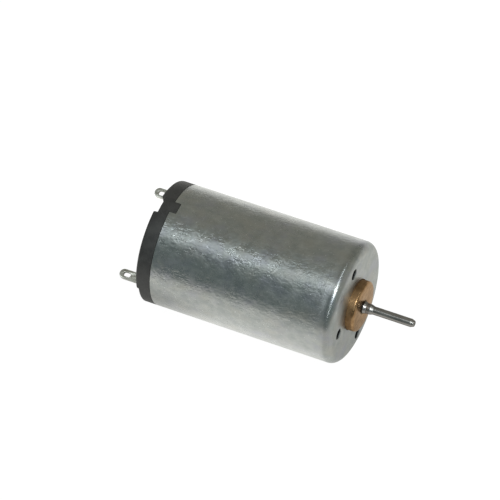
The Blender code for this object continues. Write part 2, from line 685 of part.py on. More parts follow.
def add_commutator():
    """Plastic sleeve with a front flange, three copper segments with solder tangs, and a retaining ring."""
    profile = [
        (CORE_BORE, SLEEVE_FRONT),
        (SLEEVE_FLANGE_RADIUS, SLEEVE_FRONT),
        (SLEEVE_FLANGE_RADIUS, SLEEVE_FLANGE_BACK),
        (SLEEVE_RADIUS, SLEEVE_FLANGE_BACK),
        (SLEEVE_RADIUS, SLEEVE_BACK),
        (CORE_BORE, SLEEVE_BACK),
    ]
    mesh = turned_mesh("commutator_sleeve", profile, SMALL_TURN)
    add_piece("commutator_sleeve", mesh, brown_plastic, rotor)
    shell = arc(SEGMENT_OUTSIDE, -SEGMENT_HALF_ARC, SEGMENT_HALF_ARC, SEGMENT_STEPS)
    shell += arc(SEGMENT_INSIDE, SEGMENT_HALF_ARC, -SEGMENT_HALF_ARC, SEGMENT_STEPS)
    root = (SEGMENT_INSIDE + SEGMENT_OUTSIDE) / 2
    for segment in range(POLE_COUNT):
        name = f"commutator_segment_{segment + 1}"
        angle = FIRST_POLE + (segment + 0.5) * POLE_PITCH
        piece = add_piece(name, plate_mesh(name, shell, SEGMENT_FRONT - SEGMENT_BACK), copper, rotor)
        piece.location = (0, 0, (SEGMENT_FRONT + SEGMENT_BACK) / 2)
        piece.rotation_euler = (0, 0, angle)
        tang_size = (TANG_REACH - root, 2 * TANG_HALF_WIDTH, TANG_THICKNESS)
        tang = add_tool("segment_tang", box_mesh("segment_tang", tang_size), rotor)
        tang.location = around((TANG_REACH + root) / 2, angle, TANG_FRONT - TANG_THICKNESS / 2)
        tang.rotation_euler = (0, 0, angle)
        combine(piece, tang, "UNION")
    inside = SEGMENT_OUTSIDE + SEAT_GAP
    add_ring("commutator_ring", inside, RETAINER_RADIUS, RETAINER_FRONT, RETAINER_BACK, green_plastic, rotor)


def add_varistor_ring():
    """Ceramic ring on the sleeve's flange that quenches the sparks of the three segments."""
    front, back = VARISTOR_FRONT, VARISTOR_BACK
    add_ring("varistor_ring", VARISTOR_INSIDE, VARISTOR_OUTSIDE, front, back, ceramic, rotor)


def add_shaft_rings():
    """Thrust washers at both bearings, and the spacer that holds the core in place behind the front one."""
    front = FRONT_BUSH_BACK - END_PLAY
    spacer_back = CORE_FRONT + INSULATOR_THICKNESS + SEAT_GAP
    spacer_front = FRONT_WASHER_BACK - SEAT_GAP
    rear_front = SLEEVE_BACK - SEAT_GAP
    rear_back = REAR_BUSH_FRONT + END_PLAY
    add_ring("thrust_washer_front", CORE_BORE, WASHER_RADIUS, front, FRONT_WASHER_BACK, nylon, rotor)
    add_ring("front_spacer", CORE_BORE, WASHER_RADIUS, spacer_front, spacer_back, brass, rotor)
    add_ring("thrust_washer_rear", CORE_BORE, WASHER_RADIUS, rear_front, rear_back, nylon, rotor)


clear_scene()
parts = new_collection("small_round_motor")
tools = new_collection("cutters")
stator = new_frame("stator_frame")
rotor = new_frame("rotor_axis")

plated_steel = new_material("plated_steel", (0.52, 0.53, 0.51), 0.38, 1.0)
ground_steel = new_material("ground_steel", (0.42, 0.42, 0.43), 0.22, 1.0)
spring_steel = new_material("spring_steel", (0.45, 0.46, 0.48), 0.35, 1.0)
electrical_steel = new_material("electrical_steel", (0.30, 0.31, 0.33), 0.45, 1.0)
bronze = new_material("bronze", (0.55, 0.30, 0.15), 0.42, 1.0)
brass = new_material("brass", (0.72, 0.55, 0.25), 0.30, 1.0)
tinned_brass = new_material("tinned_brass", (0.68, 0.68, 0.66), 0.30, 1.0)
spring_bronze = new_material("spring_bronze", (0.66, 0.42, 0.22), 0.35, 1.0)
copper = new_material("copper", (0.70, 0.33, 0.20), 0.28, 1.0)
enamelled_copper = new_material("enamelled_copper", (0.55, 0.16, 0.06), 0.30, 0.6)
ferrite = new_material("ferrite", (0.06, 0.06, 0.065), 0.60, 0.0)
ceramic = new_material("ceramic", (0.12, 0.13, 0.15), 0.55, 0.0)
carbon = new_material("carbon", (0.04, 0.04, 0.04), 0.55, 0.0)
black_plastic = new_material("black_plastic", (0.03, 0.03, 0.03), 0.50, 0.0)
brown_plastic = new_material("brown_plastic", (0.16, 0.08, 0.04), 0.50, 0.0)
green_plastic = new_material("green_plastic", (0.05, 0.22, 0.12), 0.45, 0.0)
nylon = new_material("nylon", (0.75, 0.74, 0.70), 0.50, 0.0)

add_can()
add_front_bearing()
add_magnets()
add_magnet_clips()
add_end_cap()
add_rear_bearing()
for pole_name, half_turn in (("positive", 0), ("negative", pi)):
    add_terminal(f"terminal_{pole_name}", TERMINAL_ANGLE + half_turn)
    add_brush_arm(f"brush_arm_{pole_name}", half_turn)
    add_brush(f"brush_{pole_name}", half_turn)
add_shaft()
add_shaft_rings()
add_laminations()
add_insulators()
add_coils()
add_coil_leads()
add_commutator()
add_varistor_ring()
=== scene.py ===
"""Looks of a small round DC motor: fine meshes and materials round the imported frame.

The shaft's axis is the world's X axis, and the shaft's output end is at the origin. Outlines of turned
pieces are (x, radius) points. Angles turn about the axis from +Y towards +Z, so the key slot is at 90
degrees. Lengths are metres, written through MM. The scale of a pattern is its number of waves or cells
per millimetre along each axis.
"""

from math import atan2, cos, pi, radians, sin, tan

import bmesh
import bpy
from mathutils import Matrix, Quaternion, Vector


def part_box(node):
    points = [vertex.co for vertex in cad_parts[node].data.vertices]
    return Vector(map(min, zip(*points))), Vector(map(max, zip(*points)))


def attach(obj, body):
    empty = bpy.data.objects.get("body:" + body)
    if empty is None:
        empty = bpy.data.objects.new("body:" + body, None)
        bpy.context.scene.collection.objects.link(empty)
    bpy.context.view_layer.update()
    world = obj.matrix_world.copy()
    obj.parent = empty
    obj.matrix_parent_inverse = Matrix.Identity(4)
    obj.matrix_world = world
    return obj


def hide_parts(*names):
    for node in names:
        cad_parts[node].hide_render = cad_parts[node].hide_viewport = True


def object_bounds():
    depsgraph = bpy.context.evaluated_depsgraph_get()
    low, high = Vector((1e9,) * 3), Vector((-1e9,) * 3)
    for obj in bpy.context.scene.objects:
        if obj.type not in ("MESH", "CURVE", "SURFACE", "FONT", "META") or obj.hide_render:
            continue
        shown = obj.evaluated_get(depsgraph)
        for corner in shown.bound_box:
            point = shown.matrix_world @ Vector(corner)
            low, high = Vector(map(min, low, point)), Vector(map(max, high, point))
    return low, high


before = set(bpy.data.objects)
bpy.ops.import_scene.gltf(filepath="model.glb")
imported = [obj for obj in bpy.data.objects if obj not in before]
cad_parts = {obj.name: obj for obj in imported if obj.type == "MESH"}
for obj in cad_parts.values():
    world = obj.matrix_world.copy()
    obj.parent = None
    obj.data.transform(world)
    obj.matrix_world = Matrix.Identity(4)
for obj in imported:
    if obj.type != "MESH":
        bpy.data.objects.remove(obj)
cad_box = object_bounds()
motor_middle = (cad_box[0] + cad_box[1]) / 2
MM = 0.001

# Places and sizes that the frame gives
CAN_LOW, CAN_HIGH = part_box("can")
FRONT_BUSH_LOW, FRONT_BUSH_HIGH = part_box("front_bearing")
REAR_BUSH_LOW, REAR_BUSH_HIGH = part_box("rear_bearing")
SHAFT_LOW, SHAFT_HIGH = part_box("shaft")
MAGNET_LOW, MAGNET_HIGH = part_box("magnet_upper")
TAB_LOW, TAB_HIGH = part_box("terminal_positive")
FACE_X = CAN_HIGH.x
RIM_X = CAN_LOW.x
CAN_RADIUS = CAN_HIGH.y
BOSS_X = FRONT_BUSH_HIGH.x
HUB_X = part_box("end_cap")[0].x
SHAFT_RADIUS = SHAFT_HIGH.y
TAB_TIP_X = TAB_LOW.x

# Gaps between pieces, as in the frame
SEAT_GAP = 0.03 * MM
RUNNING_GAP = 0.02 * MM

# Can; each face hole has its distance from the axis and its angle
CAN_INSIDE = MAGNET_HIGH.z + SEAT_GAP
CAN_WALL = CAN_RADIUS - CAN_INSIDE
CAN_CORNER = 1.1 * MM
CAN_EDGE = 0.07 * MM
HOLE_RADIUS = 0.69 * MM
HOLE_LIP = 0.08 * MM
HOLE_LIP_TURN = 0.47 * pi
FACE_HOLES = ((5.75 * MM, radians(88)), (5.75 * MM, radians(268)), (5.05 * MM, radians(176)))
KEY_WIDTH = 1.6 * MM
KEY_DEPTH = 0.9 * MM
SLOT_CORNER = 0.12 * MM
SLOT_EDGE = 0.06 * MM

# Shaft
SHAFT_CHAMFER = 0.12 * MM
COLLAR_RADIUS = 0.80 * MM
COLLAR_BACK = BOSS_X + 0.06 * MM
COLLAR_FRONT = BOSS_X + 0.45 * MM
COLLAR_EDGE = 0.05 * MM
COLLAR_BLEND = 0.2 * MM
SHOULDER_BACK = FACE_X + 2.0 * MM
SHOULDER_FRONT = FACE_X + 2.4 * MM
SHOULDER_BLEND = 0.4 * MM
OUTPUT_RADIUS = 0.52 * MM
TIP_TAPER = 0.42 * MM
TIP_RADIUS = 0.36 * MM
TIP_BLEND = 0.1 * MM

# Bushes
BUSH_BORE = SHAFT_RADIUS + RUNNING_GAP
BUSH_EDGE = 0.1 * MM
BORE_EDGE = 0.05 * MM
BOSS_RADIUS = 3.2 * MM
BOSS_CHAMFER = 0.3 * MM
MOUTH_RADIUS = 0.95 * MM
MOUTH_DEPTH = 0.4 * MM
MOUTH_EDGE = 0.06 * MM
FLANGE_RADIUS = FRONT_BUSH_HIGH.y
FLANGE_BACK = FACE_X - 1.3 * MM
NECK_RADIUS = 1.6 * MM
REAR_BUSH_EDGE = 0.12 * MM

# End cap
CAP_BACK = RIM_X - 1.94 * MM
CAP_FLOOR = FACE_X - 23.4 * MM
PLUG_GAP = 0.1 * MM
PLUG_INSIDE = 6.5 * MM
PLUG_EDGE = 0.15 * MM
CAP_RIM_EDGE = 0.34 * MM
CAP_CORNER = 0.1 * MM
CAP_SOFTENING = 0.05 * MM
FLANGE_EDGE = 0.04 * MM
NOTCH_WIDTH = 2.6 * MM
NOTCH_LENGTH = 2.4 * MM
NOTCH_DEPTH = 0.62 * MM
WELL_WIDTH = 4.8 * MM
WELL_LENGTH = 3.6 * MM
WELL_DEPTH = 0.42 * MM
HUB_RADIUS = 2.5 * MM
HUB_FRONT = FACE_X - 23.05 * MM
HUB_MOUTH = 0.95 * MM
HUB_LIP = 0.35 * MM
HUB_EDGE = 0.12 * MM
HUB_FOOT = 0.08 * MM
HUB_INSIDE_EDGE = 0.05 * MM

# Ejector-pin marks in the end cap
MARK_AT = 4.9 * MM
MARK_ANGLES = [radians(degrees) for degrees in (68, 150, 248, 330)]
MARK_RADIUS = 0.55 * MM
MARK_DRAFT = 0.05 * MM
MARK_DEPTH = 0.06 * MM
MARK_CORNER = 0.04 * MM

# Terminals
TERMINAL_ANGLES = (radians(18), radians(198))
TERMINAL_AT = 5.6 * MM
STRIP_WIDTH = 1.4 * MM
STRIP_THICKNESS = 0.4 * MM
STRIP_BACK = CAP_BACK - 0.12 * MM
TAB_WIDTH = 1.25 * MM
TAB_THICKNESS = 0.34 * MM
TAB_EDGE = 0.06 * MM
EYE_HALF_WIDTH = 0.28 * MM
EYE_LENGTH = 0.95 * MM
EYE_FROM_TIP = 1.0 * MM

# Facets of round shapes, the angle from which an edge counts as sharp, and how close points are welded
WIDE_TURN = 240
SMALL_TURN = 120
HOLE_TURN = 48
TAB_END_STEPS = 24
EYE_END_STEPS = 16
FINE_STEPS = 10
LIP_STEPS = 5
CORNER_STEPS = 4
SOFT_STEPS = 3
SHARP_ANGLE = radians(32)
MERGE = 0.0005 * MM

# Colours, as linear red, green and blue
ZINC_DARK = (0.270, 0.292, 0.284)
ZINC_LIGHT = (0.375, 0.388, 0.372)
ZINC_COOL = (0.315, 0.320, 0.355)
ZINC_WARM = (0.355, 0.350, 0.315)
ZINC_FLECK = (0.80, 0.82, 0.83)
# Painted shade deep in the face holes, and a painted lit wall near the face
HOLE_PAINTED_SHADE = (0.02, 0.02, 0.02)
HOLE_PAINTED_LIT = (0.30, 0.31, 0.30)
BRONZE_DARK = (0.240, 0.140, 0.066)
BRONZE_LIGHT = (0.400, 0.250, 0.130)
BRONZE_PORE = (0.16, 0.08, 0.04)
# Oil with painted shade in the bore's mouth, then painted shade on the boss's side
BRONZE_OIL_AND_SHADE = (0.085, 0.070, 0.045)
BRONZE_SIDE_SHADE = (0.20, 0.11, 0.05)
BRONZE_GLANCE = (0.80, 0.74, 0.68)
STEEL_DARK = (0.24, 0.228, 0.215)
STEEL_LIGHT = (0.34, 0.325, 0.308)
STEEL_GLANCE = (0.25, 0.25, 0.25)
TIN_DARK = (0.44, 0.43, 0.38)
TIN_LIGHT = (0.62, 0.61, 0.56)
# Painted shade round the terminals' eyes
TIN_EYE_SHADE = (0.13, 0.127, 0.10)
BLACK_DARK = (0.023, 0.022, 0.0215)
BLACK_LIGHT = (0.046, 0.0445, 0.042)
WIRE_DARK = (0.42, 0.105, 0.035)
WIRE_LIGHT = (0.68, 0.235, 0.085)

# How a distance from a point counts along each axis, for regions of different shapes
BALL = (1, 1, 1)
TUBE = (0, 1, 1)
LONG_OVAL = (0.3, 1, 1)
EYE_OVAL = (2 * EYE_HALF_WIDTH / EYE_LENGTH, 1, 1)

# Floor: what the metal sees of it is a painted pool of light that dims between two distances from the
# motor, and it reaches further
FLOOR_NEAR = 50 * MM
FLOOR_FAR = 125 * MM
FLOOR_REACH = 2.0
FLOOR_GLOW = (0.96, 0.32)
FLOOR_GREY = (0.08, 0.08, 0.08)
FLOOR_SEEN = 0.98
FLOOR_TINT = (1, 1, 0.96)

# Room: its tint changes from the -Y side to the +Y side, and its strength towards +X
ROOM_TINTS = ((0.76, 0.91, 0.91), (1.30, 1.30, 1.15))
TINT_CHANGE = (-0.6, 0.4)
ROOM_STRENGTHS = (0.27, 0.46)
STRENGTH_CHANGE = (0.45, 0.9)

# Lamps: the direction in which each one stands, its size along and across the shaft, and its radiance
LAMP_DISTANCE = 0.5
LAMP_COLOUR = (0.93, 1.0, 1.04)
STRIP_DIRECTION = (-0.25, cos(radians(107)), sin(radians(107)))
STRIP_SIZE = (0.45, 0.022)
STRIP_RADIANCE = 7.6
CROSS_DIRECTION = (0.38, cos(radians(112)), sin(radians(112)))
CROSS_SIZE = (0.03, 1.0)
CROSS_RADIANCE = 5.0
KEY_DIRECTION = (0.42, -0.37, 0.89)
KEY_SIZE = (0.04, 0.04)
KEY_RADIANCE = 190.0

# Camera
CAMERA_AZIMUTH = radians(29.869)
CAMERA_ELEVATION = radians(52.899)
CAMERA_ROLL = radians(-6.295)
CAMERA_DISTANCE = 479.83 * MM
CAMERA_AIM = Vector((FACE_X, 0, 0)) + Vector((-14.907, 1.867, 1.224)) * MM
CAMERA_LENS = 283.09


# ---------------------------------------------------------------- meshes

def arc(radius, start, end, steps, centre=(0, 0)):
    """Points along a circular arc, both ends included."""
    angles = [start + (end - start) * step / steps for step in range(steps + 1)]
    return [(centre[0] + radius * cos(angle), centre[1] + radius * sin(angle)) for angle in angles]


def rounded(corners, steps=CORNER_STEPS):
    """Closed outline through (x, y, radius) corners, each one turned with its own radius."""
    points = []
    for index, (x, y, radius) in enumerate(corners):
        here = Vector((x, y))
        if radius == 0:
            points.append((x, y))
            continue
        before = (Vector(corners[index - 1][:2]) - here).normalized()
        after = (Vector(corners[(index + 1) % len(corners)][:2]) - here).normalized()
        half = before.angle(after) / 2
        middle = here + (before + after).normalized() * (radius / sin(half))
        first = here + before * (radius / tan(half)) - middle
        last = here + after * (radius / tan(half)) - middle
        start = atan2(first.y, first.x)
        turn = (atan2(last.y, last.x) - start + pi) % (2 * pi) - pi
        points += arc(radius, start, start + turn, steps, middle)
    return points


def as_mesh(name, shape):
    """Close a bmesh into a welded mesh with its normals outwards."""
    bmesh.ops.remove_doubles(shape, verts=shape.verts, dist=MERGE)
    bmesh.ops.recalc_face_normals(shape, faces=shape.faces)
    mesh = bpy.data.meshes.new(name)
    shape.to_mesh(mesh)
    shape.free()
    return mesh


def turned(name, outline, steps, closed=True):
    """Turn an outline of (x, radius) points about the X axis."""
    shape = bmesh.new()
    rings = []
    for step in range(steps):
        angle = 2 * pi * step / steps
        rings.append([shape.verts.new((x, r * cos(angle), r * sin(angle))) for x, r in outline])
    last = len(outline) if closed else len(outline) - 1
    for step in range(steps):
        ring = rings[step]
        following = rings[(step + 1) % steps]
        for index in range(last):
            after = (index + 1) % len(outline)
            shape.faces.new((ring[index], ring[after], following[after], following[index]))
    return as_mesh(name, shape)


def plate(name, outline, thickness, holes=()):
    """Fill an outline of (x, y) points, less its holes, and thicken it evenly about z = 0."""
    curve = bpy.data.curves.new(name, "CURVE")
    curve.dimensions = "2D"
    curve.fill_mode = "BOTH"
    curve.extrude = thickness / 2
    for ring in (outline, *holes):
        spline = curve.splines.new("POLY")
        spline.points.add(len(ring) - 1)
        spline.use_cyclic_u = True
        for point, (x, y) in zip(spline.points, ring):
            point.co = (x, y, 0, 1)
    source = bpy.data.objects.new(name, curve)
    bpy.context.scene.collection.objects.link(source)
    graph = bpy.context.evaluated_depsgraph_get()
    mesh = bpy.data.meshes.new_from_object(source.evaluated_get(graph))
    bpy.data.objects.remove(source, do_unlink=True)
    shape = bmesh.new()
    shape.from_mesh(mesh)
    return as_mesh(name, shape)


def new_object(name, mesh):
    """Put a mesh in the scene."""
    made = bpy.data.objects.new(name, mesh)
    bpy.context.scene.collection.objects.link(made)
    return made


def apply_modifiers(made):
    """Turn an object's modifiers into plain mesh."""
    graph = bpy.context.evaluated_depsgraph_get()
    mesh = bpy.data.meshes.new_from_object(made.evaluated_get(graph))
    made.modifiers.clear()
    made.data = mesh


def combine(made, tool_mesh, operation, location=(0, 0, 0), turn=0):
    """Cut an object with a mesh or join the mesh to it; turn is about the X axis."""
    tool = new_object("tool", tool_mesh)
    tool.location = location
    tool.rotation_euler = (turn, 0, 0)
    change = made.modifiers.new("change", "BOOLEAN")
    change.operation = operation
    change.solver = "EXACT"
    change.object = tool
    apply_modifiers(made)
    bpy.data.objects.remove(tool, do_unlink=True)


def soften(made, width, segments=SOFT_STEPS, wanted=None):
    """Round the sharp edges of an object, or only those whose middle the test accepts."""
    shape = bmesh.new()
    shape.from_mesh(made.data)
    edges = []
    for edge in shape.edges:
        middle = (edge.verts[0].co + edge.verts[1].co) / 2
        sharp = len(edge.link_faces) == 2 and edge.calc_face_angle(0) > SHARP_ANGLE
        if sharp and (wanted is None or wanted(middle)):
            edges.append(edge)
    bmesh.ops.bevel(
        shape,
        geom=edges,
        offset=width,
        segments=segments,
        profile=0.5,
        affect="EDGES",
        clamp_overlap=True,
    )
    shape.to_mesh(made.data)
    shape.free()


def finish_piece(made, material, body, node):
    """Shade an object, give it its material and let it stand for a frame node on a body."""
    made.data.shade_smooth()
    made.data.set_sharp_from_angle(angle=SHARP_ANGLE)
    even = made.modifiers.new("even normals", "WEIGHTED_NORMAL")
    even.keep_sharp = True
    made.data.materials.clear()
    made.data.materials.append(material)
    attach(made, body)
    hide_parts(node)


def at_angle(radius, angle):
    """The (x, y, z) of a point at a radius and angle about the axis, in the plane x = 0."""
    return (0, radius * cos(angle), radius * sin(angle))


def block(name, size, corner):
    """A box about the origin whose upright corners, seen along Z, are round."""
    half_x, half_y = size[0] / 2, size[1] / 2
    corners = [(half_x, half_y), (-half_x, half_y), (-half_x, -half_y), (half_x, -half_y)]
    outline = rounded([(x, y, corner) for x, y in corners])
    return plate(name, outline, size[2])


# ---------------------------------------------------------------- material nodes

class Look:
    """One node material: a Principled shader, and patterns laid out in millimetres."""

    def __init__(self, name, metallic):
        self.material = bpy.data.materials.new(name)
        self.material.use_nodes = True
        self.tree = self.material.node_tree
        self.shader = self.tree.nodes["Principled BSDF"]
        self.shader.inputs["Metallic"].default_value = metallic
        self.place = self.add("ShaderNodeTexCoord").outputs["Object"]

    def add(self, kind):
        """A new node of a kind."""
        return self.tree.nodes.new(kind)

    def feed(self, socket, value):
        """Link an output to a socket, or set the socket's value."""
        if isinstance(value, bpy.types.NodeSocket):
            self.tree.links.new(value, socket)
        else:
            socket.default_value = value

    def stretched(self, scale):
        """Object coordinates in millimetres, times a scale along each axis."""
        node = self.add("ShaderNodeVectorMath")
        node.operation = "MULTIPLY"
        self.feed(node.inputs[0], self.place)
        self.feed(node.inputs[1], [value / MM for value in scale])
        return node.outputs[0]

    def noise(self, scale, detail, roughness, seed):
        """Cloudy noise; each seed gives another pattern."""
        node = self.add("ShaderNodeTexNoise")
        node.noise_dimensions = "4D"
        self.feed(node.inputs["Vector"], self.stretched(scale))
        node.inputs["W"].default_value = seed
        node.inputs["Scale"].default_value = 1
        node.inputs["Detail"].default_value = detail
        node.inputs["Roughness"].default_value = roughness
        return node.outputs["Fac"]

    def cells(self, scale):
        """Distance to the nearest of many scattered points."""
        node = self.add("ShaderNodeTexVoronoi")
        node.feature = "F1"
        self.feed(node.inputs["Vector"], self.stretched(scale))
        node.inputs["Scale"].default_value = 1
        return node.outputs["Distance"]

    def along(self, start, end, new_low=0.0, new_high=1.0):
        """A value that changes smoothly between two places along the object's X axis."""
        node = self.add("ShaderNodeSeparateXYZ")
        self.feed(node.inputs[0], self.stretched((1, 1, 1)))
        return self.spread(node.outputs["X"], start / MM, end / MM, new_low, new_high)

    def around(self, middle, scale, start, end, new_low=0.0, new_high=1.0):
        """A value that changes smoothly between two distances from a point, each axis times its scale."""
        node = self.add("ShaderNodeVectorMath")
        node.operation = "DISTANCE"
        self.feed(node.inputs[0], self.stretched(scale))
        self.feed(node.inputs[1], [value * times / MM for value, times in zip(middle, scale)])
        return self.spread(node.outputs["Value"], start / MM, end / MM, new_low, new_high)

    def calculate(self, operation, first, second=0.0):
        """One step of arithmetic."""
        node = self.add("ShaderNodeMath")
        node.operation = operation
        self.feed(node.inputs[0], first)
        self.feed(node.inputs[1], second)
        return node.outputs[0]

    def spread(self, value, low, high, new_low=0.0, new_high=1.0):
        """Map a value from one range to another, smoothly and without going past either end."""
        node = self.add("ShaderNodeMapRange")
        node.interpolation_type = "SMOOTHSTEP"
        self.feed(node.inputs["Value"], value)
        self.feed(node.inputs["From Min"], low)
        self.feed(node.inputs["From Max"], high)
        self.feed(node.inputs["To Min"], new_low)
        self.feed(node.inputs["To Max"], new_high)
        return node.outputs[0]

    def blend(self, factor, first, second):
        """A colour between two colours."""
        node = self.add("ShaderNodeMix")
        node.data_type = "RGBA"
        self.feed(node.inputs["Factor"], factor)
        for socket, colour in ((node.inputs["A"], first), (node.inputs["B"], second)):
            self.feed(socket, colour if isinstance(colour, bpy.types.NodeSocket) else (*colour, 1))
        return next(output for output in node.outputs if output.type == "RGBA")

    def mixed(self, *parts):
        """The weighted sum of (value, weight) pairs."""
        total = self.calculate("MULTIPLY", *parts[0])
        for value, weight in parts[1:]:
            total = self.calculate("ADD", total, self.calculate("MULTIPLY", value, weight))
        return total

    def bump(self, height, depth):
        """Relief whose full height range stands for a depth in metres."""
        node = self.add("ShaderNodeBump")
        node.inputs["Strength"].default_value = 1
        node.inputs["Distance"].default_value = depth
        self.feed(node.inputs["Height"], height)
        return node.outputs["Normal"]

    def coat(self, weight, roughness, ior):
        """Put a clear coat over the surface."""
        self.feed(self.shader.inputs["Coat Weight"], weight)
        self.feed(self.shader.inputs["Coat Roughness"], roughness)
        self.feed(self.shader.inputs["Coat IOR"], ior)

    def glance(self, tint):
        """Tint what the metal reflects at a glancing angle."""
        self.feed(self.shader.inputs["Specular Tint"], (*tint, 1))

    def done(self, colour, roughness, height, depth):
        """Fill in the shader, with a relief of a depth in metres, and return the material."""
        self.feed(self.shader.inputs["Base Color"], colour)
        self.feed(self.shader.inputs["Roughness"], roughness)
        self.feed(self.shader.inputs["Normal"], self.bump(height, depth))
        return self.material


def zinc_colour(look, blotches):
    """Grey zinc with bluish and yellowish stains and small bright flecks."""
    cool_stains = look.noise((0.3, 0.4, 0.4), detail=3, roughness=0.6, seed=17)
    warm_stains = look.noise((0.3, 0.4, 0.4), detail=3, roughness=0.6, seed=18)
    flecks = look.spread(look.cells((1.9, 2.4, 2.4)), 0.15, 0.05, 0, 0.6)
    colour = look.blend(look.spread(blotches, 0.3, 0.7), ZINC_DARK, ZINC_LIGHT)
    colour = look.blend(look.spread(cool_stains, 0.45, 0.7, 0, 0.7), colour, ZINC_COOL)
    colour = look.blend(look.spread(warm_stains, 0.45, 0.7, 0, 0.6), colour, ZINC_WARM)
    return look.blend(flecks, colour, ZINC_FLECK)


def zinc_roughness(look, uneven, side, front):
    """Uneven gloss on the side, duller towards the front, and an even satin on the front itself."""
    dull_end = look.along(FACE_X - 12.25 * MM, FACE_X - 3.25 * MM, 0, 0.07)
    duller = look.calculate("MULTIPLY", dull_end, side)
    unevenness = look.mixed((side, 0.7), (1.0, 0.3))
    rough = look.calculate("MULTIPLY", look.calculate("ADD", uneven, duller), unevenness)
    flat = look.along(FACE_X - 0.5 * CAN_CORNER, FACE_X - 0.1 * CAN_CORNER)
    return look.mixed((rough, 1), (front, 0.19), (flat, 0.10))


def with_painted_hole_shade(look, colour, roughness):
    """The colour and roughness with dull walls in the face holes, with painted shade that is near black
    deep in and painted light near the face.
    """
    shallow = look.along(FACE_X - 0.4 * CAN_WALL, FACE_X - 0.1 * CAN_WALL)
    # Painted shade and light: the hole walls go from near black deep in to lighter near the face
    inside = look.blend(shallow, HOLE_PAINTED_SHADE, HOLE_PAINTED_LIT)
    for distance, angle in FACE_HOLES:
        middle = at_angle(distance, angle)
        wall = look.around(middle, TUBE, HOLE_RADIUS + 0.03 * MM, HOLE_RADIUS + 0.01 * MM)
        colour = look.blend(wall, colour, inside)
        roughness = look.calculate("MAXIMUM", roughness, look.calculate("MULTIPLY", wall, 0.6))
    return colour, roughness


def galvanised_steel():
    """Drawn zinc-plated sheet: blotches, drawing marks and flecks on the side, and a smoother front."""
    look = Look("galvanised_steel", metallic=1)
    front = look.along(FACE_X - 1.5 * CAN_CORNER, FACE_X - 0.7 * CAN_CORNER)
    side = look.calculate("SUBTRACT", 1, front)
    blotches = look.noise((0.8, 1.05, 1.05), detail=4, roughness=0.62, seed=1)
    grain = look.noise((0.9, 7.0, 7.0), detail=2, roughness=0.5, seed=2)
    pebbles = look.noise((2.4, 3.0, 3.0), detail=2, roughness=0.6, seed=3)
    patches = look.noise((0.7, 1.1, 1.1), detail=2, roughness=0.55, seed=19)
    uneven = look.spread(look.mixed((patches, 0.75), (pebbles, 0.25)), 0.33, 0.67, 0.22, 0.37)
    colour = zinc_colour(look, blotches)
    roughness = zinc_roughness(look, uneven, side, front)
    # Painted shade in the face holes
    colour, roughness = with_painted_hole_shade(look, colour, roughness)
    relief = look.mixed((blotches, 1.0), (patches, 1.2), (pebbles, 1.2), (grain, 0.35))
    smoothed = look.along(FACE_X - 2 * CAN_CORNER, FACE_X - CAN_CORNER, 1, 0.025)
    look.coat(side, roughness=0.3, ior=1.7)
    return look.done(colour, roughness, look.calculate("MULTIPLY", relief, smoothed), 0.045 * MM)


def sintered_bronze():
    """Sized powder bronze with fine open pores: dull on its turned side, which also gets painted shade, and
    dark round the bore with oil and painted shade in the mouth.
    """
    look = Look("sintered_bronze", metallic=1)
    clouds = look.noise((1.3, 1.3, 1.3), detail=3, roughness=0.6, seed=4)
    grains = look.noise((12, 12, 12), detail=2, roughness=0.6, seed=5)
    pores = look.spread(look.cells((9, 9, 9)), 0.24, 0.12)
    # Oil and painted shade: the bore's mouth is darker and glossier
    oil = look.around((0, 0, 0), TUBE, 1.1 * MOUTH_RADIUS, 0.85 * MOUTH_RADIUS)
    edge = BOSS_X - BOSS_CHAMFER
    # The turned side is rougher, and painted shade darkens its colour
    turned_and_shaded_side = look.along(edge - 0.05 * MM, edge + 0.15 * MM, 1, 0)
    colour = look.blend(look.spread(clouds, 0.3, 0.7), BRONZE_DARK, BRONZE_LIGHT)
    colour = look.blend(look.calculate("MULTIPLY", pores, 0.3), colour, BRONZE_PORE)
    colour = look.blend(oil, colour, BRONZE_OIL_AND_SHADE)
    colour = look.blend(look.calculate("MULTIPLY", turned_and_shaded_side, 0.3), colour, BRONZE_SIDE_SHADE)
    rough = look.spread(look.mixed((clouds, 0.5), (grains, 0.5)), 0.3, 0.7, 0.20, 0.30)
    roughness = look.mixed((rough, 1), (turned_and_shaded_side, 0.24), (oil, -0.1))
    height = look.mixed((grains, 0.5), (clouds, 0.8), (pores, -0.3))
    look.glance(BRONZE_GLANCE)
    return look.done(colour, roughness, height, 0.0006 * MM)


def ground_steel():
    """Centreless-ground shaft: fine lines round it and faint stains."""
    look = Look("ground_steel", metallic=1)
    lines = look.noise((26, 0.6, 0.6), detail=2, roughness=0.6, seed=6)
    stains = look.noise((0.5, 2.0, 2.0), detail=3, roughness=0.6, seed=7)
    colour = look.blend(look.spread(stains, 0.3, 0.7), STEEL_DARK, STEEL_LIGHT)
    roughness = look.spread(look.mixed((lines, 0.6), (stains, 0.4)), 0.3, 0.7, 0.27, 0.37)
    look.glance(STEEL_GLANCE)
    return look.done(colour, roughness, lines, 0.0012 * MM)


def moulded_plastic(name, dark, light, low, high):
    """Moulded plastic with a fine spark-eroded texture and flow clouds."""
    look = Look(name, metallic=0)
    clouds = look.noise((0.7, 0.7, 0.7), detail=3, roughness=0.6, seed=8)
    texture = look.noise((9, 9, 9), detail=3, roughness=0.65, seed=9)
    colour = look.blend(look.spread(look.mixed((clouds, 0.6), (texture, 0.4)), 0.35, 0.65), dark, light)
    roughness = look.spread(look.mixed((clouds, 0.4), (texture, 0.6)), 0.3, 0.7, low, high)
    return look.done(colour, roughness, look.mixed((texture, 1.0), (clouds, 0.6)), 0.010 * MM)


